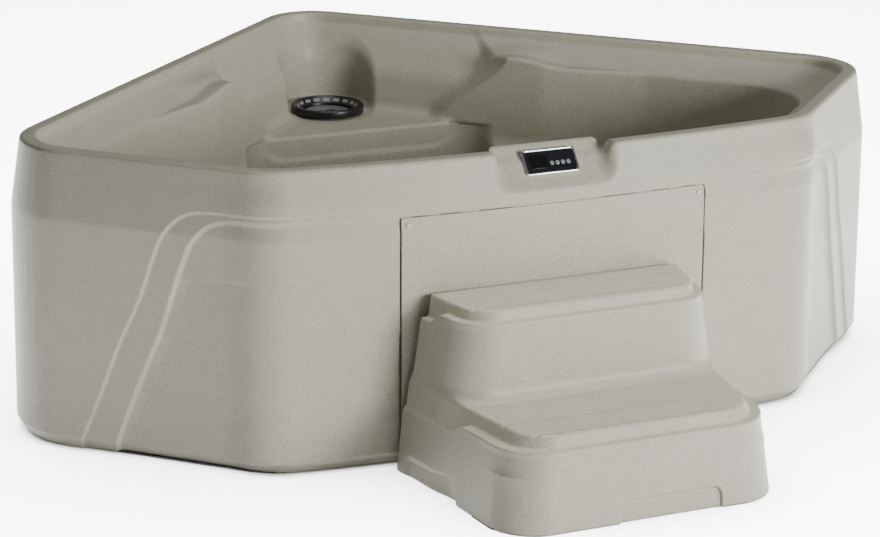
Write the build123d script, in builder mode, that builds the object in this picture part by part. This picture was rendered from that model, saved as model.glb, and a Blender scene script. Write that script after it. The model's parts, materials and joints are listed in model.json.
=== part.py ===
from build123d import *
import os
from math import sqrt

os.makedirs("parts", exist_ok=True)

# A corner hot tub with its step. Millimetres, +Z up, X to the right seen from the front.
# The front, with the service door, faces -Y. The origin is on the floor under the footwell.

# ---- driving sizes of the tub
tub_height = 740
rear_corner_y = 890  # where the lines of the two long sides would meet
long_side = 1727  # from that meeting point to the line of the short side
short_side = 710
front_bow = 47  # how far the front wall swells out from a straight line
rear_radius = 142
side_radius = 180
front_radius = 170
wall = 8
base_flare = 30  # the cabinet stands this far outside the rim
foot_height = 35
foot_tuck = 26
waist_flare = 25
waist_height = 575
pan_thickness = 6
pan_clearance = 3

# ---- rim, deck and basin
lip_width = 40
lip_depth = 24
lip_draft = 6
deck_end_height = 670
deck_end_inset = 117
basin_inset = 120
seat_height = 430
ledge_height = 498
ledge_front_y = 340
ledge_half_width = 262
armrest_half_width = 400
armrest_height = 694
armrest_bulge = 50
armrest_end = 850  # along the long side, from the rear corner
armrest_start = 1130
backrest_inset = 128
rear_seat_start = 190
basin_draft = 22
basin_side_radius = 190
basin_front_radius = 200
footwell_floor = 100
footwell_half_width = 360
footwell_front_y = -330
footwell_radius = 90
niche_radius = 131
niche_y = 592
niche_top = 706

# ---- service door
door_width = 810
door_bottom = 45
door_top = 615
door_gap = 3.5
door_landing = 28
landing_thickness = 6
door_screw_x = 385
door_screw_low = 111
door_screw_high = 594
screw_radius = 3.0
screw_head_radius = 5.5
screw_head_height = 2.5
screw_length = 18
screw_clearance = 0.4
screw_head_gap = 0.9  # the heads stop just clear of the bowed door
insert_radius = 6.5
insert_length = 10

# ---- control pod and panel
pod_width = 294
pod_rear_y = -795
pod_lean = 40  # degrees from upright
pod_face_y = -847
pod_face_z = 700
pod_face_low = 74  # how far the face runs down from its middle
panel_width = 140
panel_height = 66
bezel_border = 5
bezel_proud = 5
housing_inset = 8
housing_depth = 30
housing_wall = 2.5
board_depth = 14
gasket_thickness = 1.5
face_thickness = 2
display_x = -32
display_width = 46
display_height = 34
button_count = 4
button_radius = 5.5
button_pitch = 14.5
button_clearance = 0.35
button_first_x = 3
button_row_y = -6
button_length = 9
button_proud = 1.6

# ---- filter
filter_y = 582
filter_ring_radius = 104
filter_ring_height = 22
filter_throat_radius = 74
filter_slot_count = 18
filter_well_radius = 82
filter_well_depth = 290
filter_wall = 4
cartridge_radius = 66
cartridge_length = 235
cap_height = 14
core_radius = 26
filter_clearance = 0.5
filter_port_length = 50
pleat_count = 40
pleat_depth = 22

# ---- jets in the front seat's back
jet_spacing = 150
jet_cluster_x = 300
jet_height = 520
jet_body_radius = 26
jet_face_radius = 38
jet_face_thickness = 9
jet_body_length = 62
nozzle_radius = 17
jet_clearance = 0.4
jet_flange = 4
jet_bore_radius = 12
nozzle_bore = 7
nozzle_trim = 9
jet_pad_thickness = 40
riser_radius = 15
manifold_y = -848
jet_pad_radius = 46
jet_pad_depth = 34
suction_x = 130
suction_z = 185
suction_radius = 55
suction_height = 16
suction_tail = 44
suction_run_x = -190

# ---- pump, heater, control box and pipes
pump_x = 60
pump_y = -640
pump_axis_z = 150
motor_radius = 72
motor_length = 230
wet_end_radius = 92
wet_end_length = 96
shaft_radius = 8
shaft_clearance = 0.05
impeller_radius = 58
rotor_radius = 40
seal_radius = 18
fin_count = 28
outlet_length = 26
inlet_length = 30
heater_radius = 32
heater_length = 260
heater_z = 330
pipe_radius = 24
pipe_wall = 3
pipe_bend = 45
return_bend = 50
return_x = 480
box_width = 260
box_depth = 90
box_height = 220
box_x = -370
box_y = -560
box_wall = 3
gland_radius = 11
gland_bore = 6
gland_shift = 110

# ---- drain
service_along = 1420  # along the right long side, from the rear corner
drain_z = 80
drain_radius = 14
drain_knob_radius = 24
drain_flange_radius = 28
drain_length = 46
service_pad = 2

# ---- step
step_x = -12
step_gap = 6
step_wall = 6
step_height = 430
step_low_height = 220
step_rear_half_width = 400
tread_rear_half_width = 333
tread_side_slope = 0.18
tread_edge = 28
step_ledge_drop = 45
upper_depth = 202
step_depth = 508
riser_depth = 212
ledge_overhang = 18
groove_width = 5
groove_depth = 3
step_pad_height = 3
step_pad_length = 90
step_pad_depths = (60, 380)
step_front_half_width = 352
low_ledge_rear = 392
low_ledge_front = 330
step_corner_radius = 110
step_rear_radius = 24
skirt_flare = 20
upper_flare = 48
upper_corner_radius = 84
upper_grooves = (62, 150)
lower_grooves = (358, 442)
tread_draft = 6
hand_hold_x = 45
hand_hold_width = 260
hand_hold_height = 52
hand_hold_depth = 16
hand_hold_radius = 18
side_hold_x = 374
side_hold_width = 220
side_hold_depth = 145  # along the step's side, from its back
support_pitch = 380
support_size = 180

root2 = sqrt(2)
half = sqrt(0.5)
side_x = long_side * half
side_y = rear_corner_y - side_x
front_x = side_x - short_side * half
front_y = side_y - short_side * half
front_face_y = front_y - front_bow - base_flare
inner_top = tub_height - wall


def save(piece, name):
    """Labels a finished piece and writes it under its own name."""
    piece.part.label = name
    export_step(piece.part, f"parts/{name}.step")


def beside(along, inset, side=1):
    """A point along a long side, counted from the rear corner, and set in from it."""
    return (side * (along - inset) * half, rear_corner_y - (along + inset) * half)


def plan(growth, height):
    """The tub's plan outline, grown outwards by growth, at this height."""
    rear_y = rear_corner_y + growth * root2
    sx = side_x + growth * root2
    fx = front_x + growth * (root2 - 1)
    fy = front_y - growth
    with BuildSketch(Plane.XY.offset(height)) as sketch:
        with BuildLine():
            Polyline((-fx, fy), (-sx, side_y), (0, rear_y), (sx, side_y), (fx, fy))
            ThreePointArc((fx, fy), (0, fy - front_bow), (-fx, fy))
        make_face()
        fillet(sketch.vertices().sort_by(Axis.Y)[-1], radius=rear_radius + growth)
        ends = sketch.vertices().sort_by(Axis.X)
        fillet([ends[0], ends[-1]], radius=side_radius + growth)
        fillet(sketch.vertices().sort_by(Axis.Y)[:2], radius=front_radius + growth)
    return sketch.sketch


def basin_plan(growth, height):
    """The basin's plan outline, which swells in at the armrests and has rounder corners."""
    inset = basin_inset - growth
    shoulder_inset = basin_inset + armrest_bulge - growth
    sx = side_x - inset * root2
    fx = front_x - inset * (root2 - 1)
    fy = front_y + inset
    shoulder = beside(armrest_end, shoulder_inset)
    flank = beside(armrest_start, inset)
    tip_y = rear_corner_y - shoulder_inset * root2
    with BuildSketch(Plane.XY.offset(height)) as sketch:
        with BuildLine():
            Polyline((0, tip_y), shoulder, flank, (sx, side_y), (fx, fy))
            ThreePointArc((fx, fy), (0, fy - front_bow), (-fx, fy))
            Polyline(
                (-fx, fy),
                (-sx, side_y),
                (-flank[0], flank[1]),
                (-shoulder[0], shoulder[1]),
                (0, tip_y),
            )
        make_face()
        ends = sketch.vertices().sort_by(Axis.X)
        fillet([ends[0], ends[-1]], radius=basin_side_radius + growth)
        fillet(sketch.vertices().sort_by(Axis.Y)[:2], radius=basin_front_radius + growth)
    return sketch.sketch


def armrest_profile(growth):
    """The rear seat's opening seen from the front: upright sides that sweep out over the armrests."""
    low, top = ledge_half_width + growth, armrest_half_width + growth
    middle = (low + top) / 2
    floor, rise = ledge_height - growth, armrest_height - ledge_height
    with BuildSketch(Plane.XZ) as sketch:
        with BuildLine():
            Polyline((-top, tub_height + 40), (top, tub_height + 40), (top, armrest_height))
            ThreePointArc(
                (top, armrest_height),
                (top - 14, armrest_height - rise * 0.28),
                (middle, floor + rise * 0.5),
            )
            ThreePointArc((middle, floor + rise * 0.5), (low + 14, floor + rise * 0.28), (low, floor))
            Line((low, floor), (-low, floor))
            ThreePointArc((-low, floor), (-low - 14, floor + rise * 0.28), (-middle, floor + rise * 0.5))
            ThreePointArc(
                (-middle, floor + rise * 0.5),
                (14 - top, armrest_height - rise * 0.28),
                (-top, armrest_height),
            )
            Line((-top, armrest_height), (-top, tub_height + 40))
        make_face()
    return sketch.sketch


def cabinet(growth, low, top):
    """The cabinet's outside, or its inside when growth is negative, between two heights."""
    with BuildPart() as block:
        loft(
            sections=[
                plan(base_flare - foot_tuck + growth, 0),
                plan(base_flare + growth, foot_height),
                plan(waist_flare + growth, waist_height),
                plan(growth, tub_height),
            ],
            ruled=True,
        )
        split(bisect_by=Plane.XY.offset(low), keep=Keep.TOP)
        split(bisect_by=Plane.XY.offset(top), keep=Keep.BOTTOM)
    return block.part


def seat_well(growth):
    """The basin's main hollow, down to the seats."""
    low = seat_height - growth
    with BuildPart() as hollow:
        loft(
            sections=[basin_plan(growth - basin_draft, low), basin_plan(growth, deck_end_height)],
            ruled=True,
        )
        with BuildSketch(Plane.XY.offset(low)) as ledge:
            with Locations((0, ledge_front_y - growth)):
                Rectangle(4 * side_x, rear_corner_y, align=(Align.CENTER, Align.MIN))
        extrude(ledge.sketch, amount=ledge_height - seat_height, mode=Mode.SUBTRACT)
    return hollow.part


def deck_well(growth):
    """The hollow over the deck: a steep lip, then a gentle slope to the top of the basin wall."""
    lip_foot = tub_height - lip_depth - growth
    slope_start = growth - lip_width - lip_draft
    with BuildPart() as hollow:
        loft(
            sections=[plan(slope_start, lip_foot), plan(growth - lip_width, tub_height + 1)],
            ruled=True,
        )
        loft(
            sections=[
                plan(growth - deck_end_inset, deck_end_height - growth),
                plan(slope_start, lip_foot),
            ],
            ruled=True,
        )
    return hollow.part


def rear_seat(growth):
    """The rear seat's hollow, with its backrests and the column over the filter."""
    with BuildPart() as hollow:
        extrude(plan(growth - backrest_inset, ledge_height - growth), amount=tub_height - ledge_height)
        extrude(armrest_profile(growth), amount=-rear_corner_y, mode=Mode.INTERSECT)
        with BuildSketch(Plane.XY.offset(ledge_height - growth)):
            with Locations((0, rear_seat_start)):
                Rectangle(2 * side_x, rear_corner_y, align=(Align.CENTER, Align.MIN))
        extrude(amount=tub_height, mode=Mode.INTERSECT)
        with BuildSketch(Plane.XY.offset(ledge_height - growth)):
            with Locations((0, niche_y)):
                Circle(niche_radius + growth)
        extrude(amount=niche_top - ledge_height + growth)
    return hollow.part


def footwell(growth):
    """The deep middle of the basin, where the feet go."""
    middle_y = (ledge_front_y + footwell_front_y) / 2
    with BuildPart() as hollow:
        with BuildSketch(Plane.XY.offset(footwell_floor - growth)):
            with Locations((0, middle_y)):
                RectangleRounded(
                    2 * (footwell_half_width + growth),
                    ledge_front_y - footwell_front_y + 2 * growth,
                    footwell_radius + growth,
                )
        extrude(amount=seat_height - footwell_floor + 2)
    return hollow.part


def basin(growth):
    """All of the basin's hollows as one, or its outside skin when grown by the wall."""
    hollow = seat_well(growth) + deck_well(growth) + rear_seat(growth) + footwell(growth)
    return hollow


def front_window(margin, depth):
    """A block through the front wall over the door, larger all round by margin."""
    with BuildPart() as block:
        with BuildSketch(Plane.XZ.offset(-(front_y + depth))):
            with Locations((0, (door_bottom + door_top) / 2)):
                RectangleRounded(
                    door_width + 2 * margin,
                    door_top - door_bottom + 2 * margin,
                    max(margin, 6),
                )
        extrude(amount=front_bow + base_flare + depth + 60)
    return block.part


pod_plane = Plane(
    origin=(0, pod_face_y, pod_face_z),
    x_dir=(1, 0, 0),
    z_dir=Vector(0, -1, 0).rotate(Axis.X, -pod_lean),
)
pod_axis = Axis(pod_plane.origin, pod_plane.z_dir)
jet_places = [
    (side * (jet_cluster_x + shift * jet_spacing / 2), jet_height + lift)
    for side in (-1, 1)
    for shift, lift in ((-1, 0), (1, 0), (0, jet_spacing * 0.6))
]
jet_pad_y = front_y - front_bow + basin_inset + jet_pad_depth
suction_places = [(-suction_x, suction_z), (suction_x, suction_z)]
door_screws = [(side * door_screw_x, z) for side in (-1, 1) for z in (door_screw_low, door_screw_high)]


def flare(height):
    """How far the cabinet stands outside the rim at this height."""
    if height > waist_height:
        return waist_flare * (tub_height - height) / (tub_height - waist_height)
    return base_flare - (base_flare - waist_flare) * (height - foot_height) / (waist_height - foot_height)


def screw_plane(x, height, depth):
    """A plane facing -Y, this deep behind the door's outer face at a point on the front wall."""
    growth = flare(height)
    half_chord = front_x + growth * (root2 - 1)
    bow_radius = (half_chord**2 + front_bow**2) / (2 * front_bow)
    skin_y = front_y - growth - front_bow + bow_radius - sqrt(bow_radius**2 - x**2)
    return Plane(origin=(x, skin_y + depth, height), x_dir=(1, 0, 0), z_dir=(0, -1, 0))


service_plane = Plane(
    origin=(*beside(service_along, -base_flare), drain_z), x_dir=(half, -half, 0), z_dir=(half, half, 0)
)
step_y = front_face_y - step_gap

# ---- tub: one hollow moulding, with the door's opening, the pod and every fitting's hole
lean_rise = Vector(0, 1, 0).rotate(Axis.X, 90 - pod_lean)  # up the pod's sloping face


def pod_point(up, inward):
    """(y, z) of a point up the pod's face from its middle, and inward from it."""
    spot = Vector(0, pod_face_y, pod_face_z) + lean_rise * up - pod_plane.z_dir * inward
    return (spot.Y, spot.Z)


def pod_block(corners, width):
    """A block of the pod's side outline, centred on the tub."""
    with BuildPart() as block:
        with BuildSketch(Plane.YZ):
            with BuildLine():
                Polyline(*corners, close=True)
            make_face()
        extrude(amount=width / 2, both=True)
    return block.part


pod_foot = pod_point(-pod_face_low, 0)
pod_head = pod_point((tub_height - pod_face_z) / lean_rise.Z, 0)
pod_inside_foot = pod_point(-pod_face_low + wall, wall)
pod_inside_head = pod_point((inner_top - pod_face_z) / lean_rise.Z + wall / 2, wall)
pod_cut = pod_block(
    [pod_foot, pod_head, (pod_head[0], tub_height + 30), (pod_foot[0] - 80, tub_height + 30),
     (pod_foot[0] - 80, pod_foot[1])],
    pod_width,
)
pod_solid = pod_block(
    [pod_foot, pod_head, (pod_rear_y, tub_height), (pod_rear_y, pod_foot[1]), (pod_foot[0], pod_foot[1])],
    pod_width,
)
pod_hollow = pod_block(
    [
        pod_inside_foot,
        pod_inside_head,
        (pod_rear_y - wall, inner_top),
        (pod_rear_y - wall, pod_inside_foot[1]),
    ],
    pod_width - 2 * wall,
)
cavity = cabinet(-wall, 0, inner_top) - basin(wall)
landing = (cabinet(-wall, 0, inner_top) - cabinet(-wall - landing_thickness, 0, inner_top)) & (
    front_window(door_landing, 60) - front_window(-door_landing, 60)
)

with BuildPart() as tub_shell:
    add(cabinet(0, 0, tub_height))
    add(cavity, mode=Mode.SUBTRACT)
    add(basin(0), mode=Mode.SUBTRACT)
    add(pod_solid)
    add(pod_cut, mode=Mode.SUBTRACT)
    add(pod_hollow, mode=Mode.SUBTRACT)
    with BuildSketch(Plane.XZ.offset(-jet_pad_y)):
        with Locations(*jet_places):
            Circle(jet_pad_radius)
    extrude(amount=jet_pad_thickness)
    with BuildSketch(service_plane.offset(service_pad)):
        Circle(drain_flange_radius + 6)
        with Locations((gland_shift, 0)):
            Circle(gland_radius + 12)
    extrude(amount=-(wall + 2 * service_pad))
    add(front_window(0, 40), mode=Mode.SUBTRACT)
    add(landing)
    with BuildSketch(Plane.XZ.offset(-jet_pad_y)):
        with Locations(*jet_places):
            Circle(jet_body_radius + jet_clearance)
    extrude(amount=jet_body_length, mode=Mode.SUBTRACT)
    with BuildSketch(Plane.XZ.offset(-footwell_front_y)):
        with Locations(*suction_places):
            Circle(pipe_radius + jet_clearance)
    extrude(amount=2 * wall, mode=Mode.SUBTRACT)
    with BuildSketch(service_plane.offset(2 * service_pad)):
        Circle(drain_radius + jet_clearance)
        with Locations((gland_shift, 0)):
            Circle(gland_radius + jet_clearance)
    extrude(amount=-4 * wall, mode=Mode.SUBTRACT)
    with BuildSketch(Plane.XY.offset(ledge_height + 1)):
        with Locations((0, filter_y)):
            Circle(filter_well_radius + filter_clearance)
    extrude(amount=-3 * wall, mode=Mode.SUBTRACT)
    with BuildSketch(pod_plane.offset(1)):
        RectangleRounded(panel_width - 2 * housing_inset, panel_height - 2 * housing_inset, 4)
    extrude(amount=-3 * wall, mode=Mode.SUBTRACT)
    for screw_x, screw_z in door_screws:
        with BuildSketch(screw_plane(screw_x, screw_z, wall - 1)):
            Circle(insert_radius)
        extrude(amount=-3 * wall, mode=Mode.SUBTRACT)
save(tub_shell, "tub_shell")

with BuildPart() as base_pan:
    pan_growth = base_flare - foot_tuck - wall - pan_clearance
    loft(
        sections=[
            plan(pan_growth, 0),
            plan(pan_growth + foot_tuck * pan_thickness / foot_height, pan_thickness),
        ],
        ruled=True,
    )
save(base_pan, "base_pan")

with BuildPart() as support_blocks:
    with BuildSketch(Plane.XY.offset(pan_thickness)):
        with GridLocations(support_pitch, support_pitch, 2, 2):
            RectangleRounded(support_size, support_size, 12)
    extrude(amount=footwell_floor - wall - pan_thickness)
save(support_blocks, "support_blocks")

# ---- service door, its screws and their inserts
door_skin = (cabinet(0, 0, tub_height) - cabinet(-wall + 1, 0, tub_height)) & front_window(-door_gap, 60)
with BuildPart() as service_door:
    add(door_skin)
    for screw_x, screw_z in door_screws:
        with BuildSketch(screw_plane(screw_x, screw_z, -wall)):
            Circle(screw_radius + screw_clearance)
        extrude(amount=-3 * wall, mode=Mode.SUBTRACT)
save(service_door, "service_door")

with BuildPart() as door_screws_group:
    for screw_x, screw_z in door_screws:
        with BuildSketch(screw_plane(screw_x, screw_z, -screw_head_gap)):
            Circle(screw_head_radius)
        extrude(amount=screw_head_height)
        with BuildSketch(screw_plane(screw_x, screw_z, -screw_head_gap)):
            Circle(screw_radius)
        extrude(amount=-screw_length)
        with BuildSketch(screw_plane(screw_x, screw_z, -screw_head_gap - screw_head_height)):
            Rectangle(screw_head_radius * 1.3, 1.1)
            Rectangle(1.1, screw_head_radius * 1.3)
        extrude(amount=-1.4, mode=Mode.SUBTRACT)
save(door_screws_group, "door_screws")

with BuildPart() as door_inserts:
    for screw_x, screw_z in door_screws:
        with BuildSketch(screw_plane(screw_x, screw_z, wall + screw_clearance)):
            Circle(insert_radius)
            Circle(screw_radius + 0.02, mode=Mode.SUBTRACT)
        extrude(amount=-insert_length)
save(door_inserts, "door_inserts")

# ---- control panel, built on the pod's sloping face
housing_width = panel_width - 2 * housing_inset - 1
housing_height = panel_height - 2 * housing_inset - 1
window_width = panel_width - 2 * bezel_border
window_height = panel_height - 2 * bezel_border
face_low = gasket_thickness
face_high = face_low + face_thickness
button_spots = [(button_first_x + n * button_pitch, button_row_y) for n in range(button_count)]

with BuildPart() as control_gasket:
    with BuildSketch(pod_plane):
        RectangleRounded(panel_width - 2, panel_height - 2, 6)
        RectangleRounded(housing_width, housing_height, 3.5, mode=Mode.SUBTRACT)
    extrude(amount=gasket_thickness)
save(control_gasket, "control_gasket")

with BuildPart() as control_bezel:
    with BuildSketch(pod_plane.offset(gasket_thickness)):
        RectangleRounded(panel_width, panel_height, 7)
        RectangleRounded(window_width, window_height, 5, mode=Mode.SUBTRACT)
    extrude(amount=bezel_proud)
    fillet(control_bezel.faces().sort_by(pod_axis)[-1].edges(), radius=1.6)
save(control_bezel, "control_bezel")

with BuildPart() as control_housing:
    with BuildSketch(pod_plane.offset(gasket_thickness)):
        RectangleRounded(housing_width - 0.4, housing_height - 0.4, 3.4)
    extrude(amount=-housing_depth)
    with BuildSketch(pod_plane.offset(gasket_thickness)):
        RectangleRounded(housing_width - 2 * housing_wall, housing_height - 2 * housing_wall, 2)
    extrude(amount=-(housing_depth - housing_wall), mode=Mode.SUBTRACT)
save(control_housing, "control_housing")

with BuildPart() as control_board:
    with BuildSketch(pod_plane.offset(-board_depth)):
        RectangleRounded(housing_width - 2 * housing_wall, housing_height - 2 * housing_wall, 2)
    extrude(amount=1.6)
save(control_board, "control_board")

with BuildPart() as control_face:
    with BuildSketch(pod_plane.offset(face_low)):
        RectangleRounded(window_width - 0.6, window_height - 0.6, 4.7)
        with Locations(*button_spots):
            Circle(button_radius + button_clearance, mode=Mode.SUBTRACT)
        with Locations((display_x, 0)):
            RectangleRounded(display_width, display_height, 6, mode=Mode.SUBTRACT)
    extrude(amount=face_thickness)
save(control_face, "control_face")

with BuildPart() as display_window:
    with BuildSketch(pod_plane.offset(face_low)):
        with Locations((display_x, 0)):
            RectangleRounded(display_width - 0.2, display_height - 0.2, 5.9)
    extrude(amount=face_thickness + 0.8)
save(display_window, "display_window")

for name, spot in zip(("jets", "light", "warmer", "cooler"), button_spots):
    with BuildPart() as button:
        with BuildSketch(pod_plane.offset(face_high - button_length)):
            with Locations(spot):
                Circle(button_radius)
        extrude(amount=button_length + button_proud)
        fillet(button.faces().sort_by(pod_axis)[-1].edges(), radius=0.6)
    save(button, f"button_{name}")

# ---- filter: well, slotted ring and lift-out cartridge
ring_flange_clearance = 0.3
with BuildPart() as filter_well:
    with BuildSketch(Plane.XY.offset(ledge_height - filter_well_depth)):
        with Locations((0, filter_y)):
            Circle(filter_well_radius)
    extrude(amount=filter_well_depth)
    with BuildSketch(Plane.XY.offset(ledge_height)):
        with Locations((0, filter_y)):
            Circle(filter_well_radius + 12)
    extrude(amount=filter_wall)
    with BuildSketch(Plane.XY.offset(ledge_height + filter_wall)):
        with Locations((0, filter_y)):
            Circle(filter_well_radius - filter_wall)
    extrude(amount=-filter_well_depth, mode=Mode.SUBTRACT)
    with BuildSketch(Plane.XZ.offset(-(filter_y - filter_well_radius + filter_wall + 1))):
        with Locations((0, ledge_height - filter_well_depth + 40)):
            Circle(pipe_radius)
    extrude(amount=filter_port_length)
    with BuildSketch(Plane.XZ.offset(-(filter_y - filter_well_radius + 3 * filter_wall))):
        with Locations((0, ledge_height - filter_well_depth + 40)):
            Circle(pipe_radius - pipe_wall)
    extrude(amount=filter_port_length + 4 * filter_wall, mode=Mode.SUBTRACT)
save(filter_well, "filter_well")

ring_top = ledge_height + filter_ring_height
with BuildPart() as filter_ring:
    with BuildSketch(Plane.XY.offset(ledge_height)):
        with Locations((0, filter_y)):
            Circle(filter_ring_radius)
        with Locations((-filter_ring_radius, filter_y)):
            RectangleRounded(26, 22, 4)
    extrude(amount=filter_ring_height)
    fillet(filter_ring.faces().sort_by(Axis.Z)[-1].edges(), radius=5)
    with BuildSketch(Plane.XY.offset(ring_top + 1)):
        with Locations((0, filter_y)):
            Circle(filter_throat_radius + 14)
    extrude(amount=-(filter_ring_height - filter_wall - 1), taper=25, mode=Mode.SUBTRACT)
    with BuildSketch(Plane.XY.offset(ledge_height)):
        with Locations((0, filter_y)):
            Circle(filter_well_radius + 12 + ring_flange_clearance)
    extrude(amount=filter_wall + ring_flange_clearance, mode=Mode.SUBTRACT)
    with BuildSketch(Plane.XY.offset(ledge_height - 18)):
        with Locations((0, filter_y)):
            Circle(filter_throat_radius + 3)
    extrude(amount=36)
    with BuildSketch(Plane.XY.offset(ledge_height - 19)):
        with Locations((0, filter_y)):
            Circle(filter_throat_radius)
    extrude(amount=80, mode=Mode.SUBTRACT)
    with BuildSketch(Plane.XY.offset(ledge_height + 7)):
        with Locations((0, filter_y)):
            with PolarLocations(filter_throat_radius + 2, filter_slot_count):
                Rectangle(16, 9)
    extrude(amount=8, mode=Mode.SUBTRACT)
save(filter_ring, "filter_ring")

cartridge_low = ledge_height - cartridge_length
with BuildPart() as filter_pleats:
    with BuildSketch(Plane.XY.offset(cartridge_low)):
        with BuildLine():
            folds = [
                Vector(0, filter_y, 0)
                + Vector(cartridge_radius - (fold % 2) * pleat_depth, 0, 0).rotate(
                    Axis.Z, fold * 180 / pleat_count
                )
                for fold in range(2 * pleat_count)
            ]
            Polyline(*folds, close=True)
        make_face()
        with Locations((0, filter_y)):
            Circle(core_radius + 3, mode=Mode.SUBTRACT)
    extrude(amount=cartridge_length - cap_height)
save(filter_pleats, "filter_pleats")

with BuildPart() as filter_core:
    with BuildSketch(Plane.XY.offset(cartridge_low)):
        with Locations((0, filter_y)):
            Circle(core_radius + 3)
            Circle(core_radius, mode=Mode.SUBTRACT)
    extrude(amount=cartridge_length - cap_height)
save(filter_core, "filter_core")

with BuildPart() as filter_cap:
    with BuildSketch(Plane.XY.offset(ledge_height - cap_height)):
        with Locations((0, filter_y)):
            Circle(cartridge_radius + 1)
            Circle(core_radius, mode=Mode.SUBTRACT)
    extrude(amount=cap_height)
    fillet(filter_cap.faces().sort_by(Axis.Z)[-1].edges(), radius=4)
save(filter_cap, "filter_cap")

with BuildPart() as filter_foot:
    with BuildSketch(Plane.XY.offset(cartridge_low - cap_height)):
        with Locations((0, filter_y)):
            Circle(cartridge_radius + 1)
            Circle(core_radius, mode=Mode.SUBTRACT)
    extrude(amount=cap_height)
save(filter_foot, "filter_foot")

# ---- jets: bodies through the wall, nuts behind, and a turning face with its nozzle on each
with BuildPart() as jet_bodies:
    with BuildSketch(Plane.XZ.offset(-jet_pad_y)):
        with Locations(*jet_places):
            Circle(jet_body_radius)
    extrude(amount=jet_body_length)
    with BuildSketch(Plane.XZ.offset(-jet_pad_y)):
        with Locations(*jet_places):
            Circle(jet_face_radius - 2)
    extrude(amount=-jet_flange)
    with BuildSketch(Plane.XZ.offset(-(jet_pad_y + jet_flange + 1))):
        with Locations(*jet_places):
            Circle(nozzle_radius + 1)
    extrude(amount=jet_flange + 24, mode=Mode.SUBTRACT)
    with BuildSketch(Plane.XZ.offset(-(jet_pad_y + 1))):
        with Locations(*jet_places):
            Circle(jet_bore_radius)
    extrude(amount=jet_body_length + 4, mode=Mode.SUBTRACT)
save(jet_bodies, "jet_bodies")

with BuildPart() as jet_nuts:
    with BuildSketch(Plane.XZ.offset(-(jet_pad_y - jet_pad_thickness))):
        with Locations(*jet_places):
            RegularPolygon(jet_face_radius, 8)
            Circle(jet_body_radius + 0.05, mode=Mode.SUBTRACT)
    extrude(amount=10)
save(jet_nuts, "jet_nuts")

for number, (jet_x, jet_z) in enumerate(jet_places, start=1):
    face_plane = Plane(
        origin=(jet_x, jet_pad_y + jet_flange + jet_clearance, jet_z), x_dir=(-1, 0, 0), z_dir=(0, 1, 0)
    )
    with BuildPart() as jet_face:
        with BuildSketch(face_plane):
            Circle(jet_face_radius)
            Circle(nozzle_radius + jet_clearance, mode=Mode.SUBTRACT)
        extrude(amount=jet_face_thickness)
        chamfer(jet_face.faces().sort_by(Axis.Y)[-1].edges().sort_by(SortBy.LENGTH)[-1], length=4)
        with BuildSketch(face_plane.offset(jet_face_thickness)):
            with PolarLocations(jet_face_radius - 4, 6):
                Rectangle(9, 4)
        extrude(amount=-3, mode=Mode.SUBTRACT)
    save(jet_face, f"jet_face_{number}")
    with BuildPart() as jet_nozzle:
        with Locations(face_plane):
            Sphere(nozzle_radius)
            Cylinder(nozzle_bore, 4 * nozzle_radius, mode=Mode.SUBTRACT)
        split(bisect_by=face_plane.offset(nozzle_trim), keep=Keep.BOTTOM)
        split(bisect_by=face_plane.offset(-nozzle_trim), keep=Keep.TOP)
    save(jet_nozzle, f"jet_nozzle_{number}")

# ---- suction covers and their fittings in the footwell's front wall
with BuildPart() as suction_fittings:
    with BuildSketch(Plane.XZ.offset(-footwell_front_y)):
        with Locations(*suction_places):
            Circle(pipe_radius)
    extrude(amount=suction_tail)
    with BuildSketch(Plane.XZ.offset(-footwell_front_y)):
        with Locations(*suction_places):
            Circle(pipe_radius + 12)
    extrude(amount=-3)
    with BuildSketch(Plane.XZ.offset(-(footwell_front_y + 4))):
        with Locations(*suction_places):
            Circle(pipe_radius - pipe_wall)
    extrude(amount=suction_tail + 6, mode=Mode.SUBTRACT)
save(suction_fittings, "suction_fittings")

with BuildPart() as suction_covers:
    for cover_x, cover_z in suction_places:
        cover_plane = Plane(origin=(cover_x, footwell_front_y, cover_z), x_dir=(-1, 0, 0), z_dir=(0, 1, 0))
        with BuildSketch(cover_plane):
            Circle(suction_radius)
        extrude(amount=suction_height, taper=20)
        with BuildSketch(cover_plane):
            Circle(suction_radius - 6)
        extrude(amount=suction_height - 3, taper=20, mode=Mode.SUBTRACT)
        with BuildSketch(cover_plane.offset(suction_height + 1)):
            with PolarLocations(suction_radius * 0.52, 12):
                RectangleRounded(22, 6, 2.5)
        extrude(amount=-6, mode=Mode.SUBTRACT)
save(suction_covers, "suction_covers")


# ---- pump, heater and pipework in the bay behind the door
def pipe_run(points, radius):
    """A hollow pipe along straight runs joined by arcs."""
    with BuildPart() as pipe:
        with BuildLine() as route:
            FilletPolyline(*points, radius=radius)
        with BuildSketch(Plane(origin=route.line @ 0, z_dir=route.line % 0)):
            Circle(pipe_radius)
            Circle(pipe_radius - pipe_wall, mode=Mode.SUBTRACT)
        sweep()
    return pipe.part


def across(x):
    """A plane across the pump's axis at x, facing +X."""
    return Plane(origin=(x, pump_y, pump_axis_z), x_dir=(0, 1, 0), z_dir=(1, 0, 0))


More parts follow.
